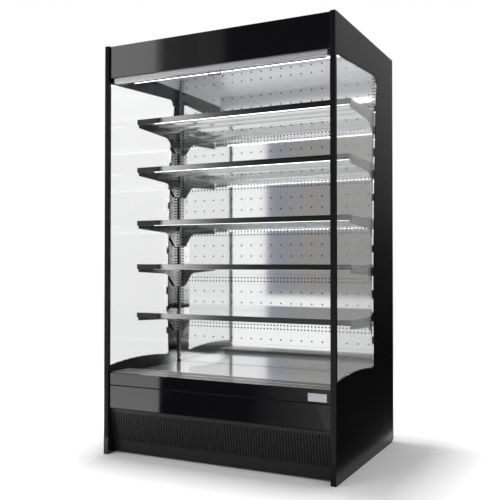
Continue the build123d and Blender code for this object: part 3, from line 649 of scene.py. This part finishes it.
def buildGrille():
    low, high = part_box("return_grille")
    half, middle = high.x, (low.y + high.y) / 2
    along, up = Vector((1, 0, 0)), Vector((0, 1, 0))
    place = Vector((0, 0, high.z - grille["thickness"] / 2))
    cells = grilleCells(half, ((low.y, middle), (middle, high.y)))
    plate = piercedPlate("return_plate", place, along, up, cells, grille["thickness"],
                         finishes["grilleSteel"], "cabinet")
    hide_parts("return_grille")
    outline = rectangle(low.y, low.y + grille["edge"], low.z, high.z - grille["edgeDrop"])
    fold = barAlongX("return_edge", outline, -half, half, finishes["grilleSteel"], "cabinet",
                     grille["rounding"])
    # the sheet under the slots is painted shade, not a part of the fridge
    deep, reach = grilleShadeSheet["thickness"], half - grilleShadeSheet["side"]
    under, top = high.z - grilleShadeSheet["drop"], high.z - grilleShadeSheet["rise"]
    near, far = low.y + grilleShadeSheet["near"], high.y - grilleShadeSheet["far"]
    outline = [(near, under - deep), (near, under), (far - deep, under), (far - deep, top),
               (far, top), (far, under - deep)]
    cover = barAlongX("return_shade_sheet", outline, -reach, reach, finishes["darkShadeSheet"], "cabinet")


buildKick()
buildGrille()
print("kick plate and return grille done")


# night blind: the hung part of the cloth

blind = {"width": 1.104, "top": 1.930, "foot": 1.8333, "y": -0.4157, "thickness": 0.0006,
         "rows": 24, "columns": 12}


def buildBlind():
    rows, columns, half = blind["rows"], blind["columns"], blind["width"] / 2
    vertices = []
    for i in range(rows + 1):
        z = blind["top"] + (blind["foot"] - blind["top"]) * i / rows
        vertices += [(-half + blind["width"] * j / columns, blind["y"], z)
                     for j in range(columns + 1)]
    faces = []
    for i in range(rows):
        for j in range(columns):
            first = i * (columns + 1) + j
            below = first + columns + 1
            faces.append((first, first + 1, below + 1, below))
    cloth = meshPiece("blind_cloth", vertices, faces, finishes["cloth"])
    thicken(cloth, blind["thickness"])
    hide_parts("blind_fabric")
    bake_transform(cloth)


# blind roller: a thin tube with the rest of the cloth wound on it

roller = {"y": -0.385, "z": 1.930, "bore": 0.0175, "tube": 0.0195, "rounding": 0.0004,
          "wound": 0.0203, "outer": 0.0294, "thickness": 0.0005, "turns": 13, "steps": 40}


def aroundRoller(radius, step):
    # (y, z) at this step of a turn, from the front of the roller over its top
    turn = 2 * math.pi * step / roller["steps"]
    return roller["y"] - radius * math.cos(turn), roller["z"] + radius * math.sin(turn)


def buildTube():
    low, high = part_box("blind_roller")
    steps, bore, tube = roller["steps"], roller["bore"], roller["tube"]
    profile = [(low.x, bore), (low.x, tube), (high.x, tube), (high.x, bore)]
    vertices = [(x, *aroundRoller(radius, i)) for i in range(steps) for x, radius in profile]
    faces = []
    for i in range(steps):
        here, there = 4 * i, 4 * ((i + 1) % steps)
        faces += [(here + j, here + (j + 1) % 4, there + (j + 1) % 4, there + j)
                  for j in range(4)]
    piece = meshPiece("blind_tube", vertices, faces, finishes["satinSteel"], "blind_roller")
    softEdges(piece, roller["rounding"])
    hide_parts("blind_roller")


def buildWoundCloth():
    half, count = blind["width"] / 2, roller["turns"] * roller["steps"]
    growth = (roller["outer"] - roller["wound"]) / count
    line = [aroundRoller(roller["wound"] + growth * i, i) for i in range(count + 1)]
    vertices = [(x, y, z) for y, z in line for x in (-half, half)]
    faces = [(2 * i, 2 * i + 1, 2 * i + 3, 2 * i + 2) for i in range(count)]
    wound = meshPiece("wound_cloth", vertices, faces, finishes["cloth"], "blind_roller")
    wound.data.shade_smooth()
    thicken(wound, roller["thickness"])


# soft lip under the bar, which meets the deck when the blind is down

barLip = {"y": (-0.4175, -0.4085), "taper": 0.002, "drop": 0.0035, "inset": 0.004,
          "rounding": 0.0008}


def buildBarLip():
    low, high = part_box("blind_bar")
    (y0, y1), taper = barLip["y"], barLip["taper"]
    head, foot = low.z, low.z - barLip["drop"]
    outline = [(y0 + taper, foot), (y0, head), (y1, head), (y1 - taper, foot)]
    lip = barAlongX("bar_lip", outline, low.x + barLip["inset"], high.x - barLip["inset"],
                    finishes["rubber"], "blind_bar", barLip["rounding"])


buildBlind()
buildTube()
buildWoundCloth()
buildBarLip()
print("blind done")


# plain name plate on the upper fascia

badge = {"x": (0.470, 0.556), "z": (0.345, 0.380), "thickness": 0.0018, "rounding": 0.0008}


def buildBadge():
    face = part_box("upper_fascia")[0].y
    outline = rectangle(face - badge["thickness"], face, *badge["z"])
    piece = barAlongX("name_plate", outline, *badge["x"], finishes["plateMetal"], "cabinet",
                      badge["rounding"])


buildBadge()
print("name plate done")


# pale floor and white world

studio = {"floorColour": 0.86, "floorNear": 1.9, "floorFar": 3.6, "floorReach": 60.0,
          "floorDrop": 0.0005, "floorRough": 0.9, "ambient": 0.80}


def stageMaterial(name):
    material = bpy.data.materials.new(name)
    material.use_nodes = True
    return material, material.node_tree


def backgroundRay(tree):
    path = addNode(tree, "ShaderNodeLightPath").outputs
    seen = mathNode(tree, "MAXIMUM", path["Is Camera Ray"], path["Is Glossy Ray"])
    return mathNode(tree, "MAXIMUM", seen, path["Is Transmission Ray"])


def buildFloor():
    # takes the shadow near the fridge and goes over into plain white further out
    material, tree = stageMaterial("paleFloor")
    shader = tree.nodes["Principled BSDF"]
    feed(tree, shader, Base_Color=rgb(*[studio["floorColour"]] * 3), Specular_IOR_Level=0.0,
         Roughness=studio["floorRough"])
    away = addNode(tree, "ShaderNodeVectorMath", operation="LENGTH")
    tree.links.new(addNode(tree, "ShaderNodeTexCoord").outputs["Object"], away.inputs[0])
    far = spread(tree, away.outputs["Value"], (studio["floorNear"], studio["floorFar"]))
    glow = addNode(tree, "ShaderNodeEmission")
    feed(tree, glow, Color=rgb(1, 1, 1), Strength=1.0)
    mixShader(tree, mathNode(tree, "MULTIPLY", far, backgroundRay(tree)), shader.outputs[0],
              glow.outputs[0])
    reach, z = studio["floorReach"], -studio["floorDrop"]
    corners = [(-reach, -reach, z), (reach, -reach, z), (reach, reach, z), (-reach, reach, z)]
    meshPiece("floor", corners, [(0, 1, 2, 3)], material)


def buildWorld():
    # plain white where it is seen, a little less as light
    world = bpy.data.worlds.new("studio")
    scene.world = world
    world.use_nodes = True
    tree = world.node_tree
    extra = mathNode(tree, "MULTIPLY", backgroundRay(tree), 1.0 - studio["ambient"])
    feed(tree, tree.nodes["Background"], Color=rgb(1, 1, 1),
         Strength=mathNode(tree, "ADD", extra, studio["ambient"]))


buildFloor()
buildWorld()


# lamps, which no reflection shows

lamps = {
    "topLamp": {"place": (-0.3, 0.15, 6.0), "aim": (-0.3, 0.15, 0), "size": 1.0, "watts": 330},
    "frontLamp": {"place": (-3.0, -5.0, 3.2), "aim": (0, 0, 1.0), "size": 3.0, "watts": 60},
}


def areaLamp(name, place, aim, size, watts):
    data = bpy.data.lights.new(name, "AREA")
    data.size = size
    data.energy = watts
    lamp = bpy.data.objects.new(name, data)
    scene.collection.objects.link(lamp)
    lamp.location = place
    turn = (Vector(aim) - Vector(place)).to_track_quat("-Z", "Y")
    lamp.rotation_euler = turn.to_euler()
    lamp.visible_glossy = False
    lamp.visible_transmission = False
    lamp.visible_camera = False


for name, lamp in lamps.items():
    areaLamp(name, **lamp)


# cards, which only show in reflections; a card's columns are (corner, corner, glow, glow)

def cardMaterial(name, shared):
    material, tree = stageMaterial(name)
    tree.nodes.remove(tree.nodes["Principled BSDF"])
    glow = addNode(tree, "ShaderNodeEmission")
    layer = addNode(tree, "ShaderNodeVertexColor", layer_name="glow")
    tree.links.new(layer.outputs["Color"], glow.inputs["Color"])
    shown = glow.outputs[0]
    if not shared:
        # a softbox for a few pieces only is clear to all the others
        both = addNode(tree, "ShaderNodeAddShader")
        tree.links.new(shown, both.inputs[0])
        tree.links.new(addNode(tree, "ShaderNodeBsdfTransparent").outputs[0], both.inputs[1])
        shown = both.outputs[0]
    tree.links.new(shown, tree.nodes["Material Output"].inputs[0])
    return material


def card(name, columns, receivers=()):
    vertices, values = [], []
    for low, high, lowGlow, highGlow in columns:
        vertices += [low, high]
        values += [lowGlow, highGlow]
    faces = [(2 * i, 2 * i + 2, 2 * i + 3, 2 * i + 1) for i in range(len(columns) - 1)]
    piece = meshPiece(name, vertices, faces, cardMaterial(name, not receivers))
    layer = piece.data.color_attributes.new("glow", "FLOAT_COLOR", "POINT")
    for i, value in enumerate(values):
        layer.data[i].color = rgb(*(value if isinstance(value, tuple) else [value] * 3))
    piece.visible_camera = False
    piece.visible_diffuse = False
    piece.visible_shadow = False
    piece.visible_transmission = False
    if receivers:
        linked = bpy.data.collections.new(name + "Receivers")
        for receiver in receivers:
            linked.objects.link(receiver)
        piece.light_linking.receiver_collection = linked


def standing(y, low, high, glows):
    # a wall across the view, from (x, glow) pairs
    return [((x, y, low), (x, y, high), glow, glow) for x, glow in glows]


def lying(z, near, far, glows):
    # a cloth on the floor, from (x near, x far, glow)
    return [((x0, near, z), (x1, far, z), glow, glow) for x0, x1, glow in glows]


def slanting(start, end, low, high, lowGlow, highGlow):
    # a wall between two (x, y) places that changes with height
    return [((*at, low), (*at, high), lowGlow, highGlow) for at in (start, end)]


def stepped(y, x0, x1, glows):
    # a wall across the view that changes with height, from (z, glow) pairs
    return [((x0, y, z), (x1, y, z), glow, glow) for z, glow in glows]


def buildCards():
    # grey screen before the fridge, which the polished wall shows on its right half
    bluish, warm = (0.22, 0.24, 0.31), (0.27, 0.265, 0.25)
    card("frontScreen", standing(y=-9.0, low=0.30, high=4.40, glows=[
        (-4.36, bluish), (-3.6, warm), (9.0, warm)]))
    card("highScreen", standing(y=-9.0, low=4.40, high=9.0, glows=[(-9.0, 0.10), (9.0, 0.10)]))
    # dark screens behind and to the right, for the right wall and its glass
    start, end = (0.9, 8.0), (9.0, 2.0)
    card("sideScreen0", slanting(start, end, low=-0.1, high=1.1, lowGlow=0.01, highGlow=0.05))
    card("sideScreen1", slanting(start, end, low=1.1, high=6.0, lowGlow=0.05, highGlow=0.80))
    card("sideFloorCloth", lying(z=0.004, near=-1.2, far=7.5, glows=[
        (0.66, 0.66, 0.01), (9.0, 9.0, 0.01)]))
    # dark cloth on the floor in front, for the base fascias
    card("frontFloorCloth", lying(z=0.004, near=-2.9, far=-0.9, glows=[
        (-1.92, -0.60, 0.01), (-1.0, -0.10, 0.05), (-0.5, 0.40, 0.9)]))
    # softboxes for the rails, the canopy and the base
    rails = [bpy.data.objects[name] for name in numbered("price_rail")]
    card("railSoftbox", standing(y=-6.0, low=0.01, high=6.0, glows=[
        (-8.0, 15.0), (-4.3, 15.0), (-3.9, 9.0), (-3.35, 0.0)]), rails)
    card("canopySoftbox", standing(y=-6.0, low=2.5, high=6.0, glows=[
        (-8.0, 4.8), (-4.05, 4.8), (-3.9, 1.0), (-3.0, 0.5), (-2.9, 0.0)]),
        [cadNodes["canopy_fascia"]])
    base = [cadNodes["upper_fascia"], cadNodes["lower_fascia"], bpy.data.objects["kick_plate"]]
    card("floorSoftbox", lying(z=0.006, near=-2.9, far=-0.9, glows=[
        (-6.0, -6.0, 3.2), (-1.92, -0.60, 3.2)]), base)
    # dark screen and light panel on the right, for the polished wall and the deck
    card("cornerScreen", standing(y=-3.7, low=0.0, high=5.0, glows=[(1.90, 0.03), (6.0, 0.03)]))
    steel = nodeFinish["wallSteel"] + nodeFinish["deckSteel"] + nodeFinish["innerPaint"]
    card("cornerSoftbox", stepped(y=-3.6, x0=1.2, x1=1.89, glows=[
        (0.0, 0.5), (0.13, 1.5), (0.49, 5.0), (1.0, 14.0), (1.68, 10.0), (2.1, 6.0),
        (2.45, 4.0), (2.9, 1.2)]), [cadNodes[name] for name in steel])


buildCards()

# mirror faces mirror to mirror between the shelves, so paths are long
bounces = 14
for setting in ("max_bounces", "glossy_bounces", "transmission_bounces", "transparent_max_bounces"):
    setattr(scene.cycles, setting, bounces)
print("studio done")


# camera

eye = {"place": (1.644, -3.339, 0.935), "yaw": 26.487, "pitch": 0.974, "lens": 52.7,
       "sensor": 36.0, "clip": (0.05, 200.0)}


def buildCamera():
    data = bpy.data.cameras.new("camera")
    data.lens = eye["lens"]
    data.sensor_width = eye["sensor"]
    data.clip_start, data.clip_end = eye["clip"]
    camera = bpy.data.objects.new("camera", data)
    scene.collection.objects.link(camera)
    yaw = Matrix.Rotation(math.radians(eye["yaw"]), 4, "Z")
    pitch = Matrix.Rotation(math.radians(90 + eye["pitch"]), 4, "X")
    camera.matrix_world = Matrix.Translation(eye["place"]) @ yaw @ pitch
    scene.camera = camera


buildCamera()
scene.view_settings.view_transform = "Standard"

print("done")
